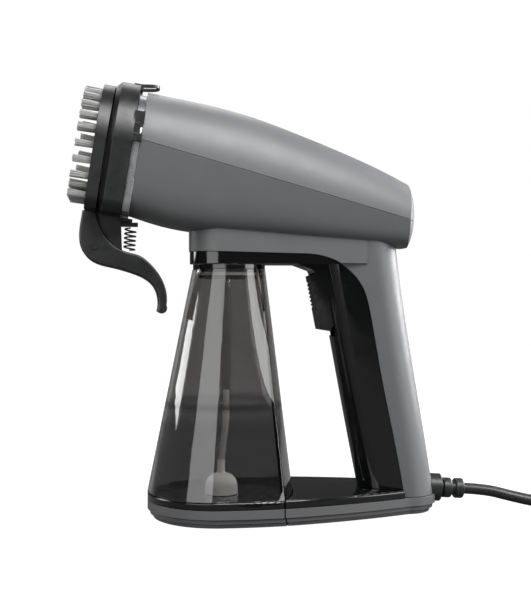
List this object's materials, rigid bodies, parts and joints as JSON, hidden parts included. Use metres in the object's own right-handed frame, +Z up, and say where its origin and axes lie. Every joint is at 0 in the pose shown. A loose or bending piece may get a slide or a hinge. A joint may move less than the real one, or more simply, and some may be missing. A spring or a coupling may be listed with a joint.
{
  "type": "garment steamer",
  "caption": "Handheld garment steamer: tapered steam head with a clip-on fabric brush, a closed handle with a trigger, a removable cone-shaped water tank and a mains lead.",
  "frame": {"origin": "on the floor, under the middle of the steamer's length, on its plane of symmetry", "axes": "+Z up, -X towards the steam head and brush, +X towards the handle's rear and the cord exit, Y across"},
  "size_m": [0.4349, 0.1312, 0.2815],
  "materials": {
    "grey_housing": "moulded ABS, fine matt texture",
    "grey_cover": "moulded ABS, fine matt texture",
    "black_gloss": "moulded ABS, polished",
    "black_satin": "moulded nylon, satin",
    "bristle": "nylon filament",
    "steam_aluminium": "satin anodised",
    "cast_alloy": "as cast",
    "smoked_tank": "clear smoked plastic",
    "clear_tube": "clear plastic",
    "silicone": "silicone rubber",
    "filter_ceramic": "moulded acetal",
    "black_rubber": "moulded soft PVC",
    "nickel": "nickel plated",
    "steel": "zinc plated",
    "spring_steel": "black phosphated",
    "black_inner": "moulded nylon",
    "circuit": "glass epoxy laminate"
  },
  "bodies": {
    "body": {"housing_left": "grey_housing", "housing_right": "grey_housing", "top_cover": "grey_cover", "inner_frame": "black_gloss", "base_deck": "black_gloss", "base_skirt": "grey_housing", "base_plate": "black_inner", "strain_relief": "black_rubber", "steam_ring": "steam_aluminium", "steam_plate": "steam_aluminium", "steam_seal": "silicone", "boiler_body": "cast_alloy", "boiler_cover": "cast_alloy", "heating_element": "steel", "thermostat": "black_inner", "thermal_fuse": "steel", "water_pump": "black_inner", "pump_mounts": "silicone", "dock_nozzle": "black_inner", "dock_o_ring": "silicone", "pump_inlet_hose": "silicone", "pump_outlet_hose": "silicone", "control_board": "circuit", "trigger_switch": "black_inner", "terminal_block": "black_inner", "cord_clamp": "black_inner", "trigger_pin": "steel", "trigger_spring": "spring_steel", "power_cord": "black_rubber", "cord_coil": "black_rubber", "cord_tie": "black_rubber", "plug_body": "black_rubber", "plug_pins": "nickel", "housing_screws": "steel", "base_screws": "steel", "rear_feet": "black_rubber"},
    "tank": {"tank_shell": "smoked_tank", "tank_rim": "black_gloss", "tank_skirt": "grey_housing", "tank_cap": "black_gloss", "tank_cap_seal": "silicone", "outlet_valve": "black_inner", "suction_tube": "clear_tube", "suction_hose": "silicone", "filter_weight": "filter_ceramic", "tank_feet": "black_rubber"},
    "attachment": {"brush_frame": "black_satin", "pivot_pin": "steel", "lever_spring": "spring_steel"},
    "jaw": {"jaw_plate": "black_satin", "clip_lever": "black_satin", "bristles": "bristle"},
    "trigger": {"trigger": "black_satin"}
  },
  "joints": [
    {"name": "tank_slide", "type": "slide", "parent": "body", "child": "tank", "axis": [0, 0, -1], "range_m": [0, 0.03]},
    {"name": "brush_slide", "type": "slide", "parent": "body", "child": "attachment", "axis": [-0.9877, 0, 0.1564], "range_m": [0, 0.035]},
    {"name": "jaw_hinge", "type": "hinge", "parent": "attachment", "child": "jaw", "pos_m": [-0.1048, 0, 0.175], "axis": [0, 1, 0], "range_deg": [-18, 0], "stiffness_Nm_per_rad": 0.3, "springref_deg": 20.05, "deforming": ["lever_spring"]},
    {"name": "trigger_hinge", "type": "hinge", "parent": "body", "child": "trigger", "pos_m": [0.051, 0, 0.153], "axis": [0, 1, 0], "range_deg": [-5, 0], "stiffness_Nm_per_rad": 0.3, "springref_deg": 8.59, "deforming": ["trigger_spring"]}
  ]
}
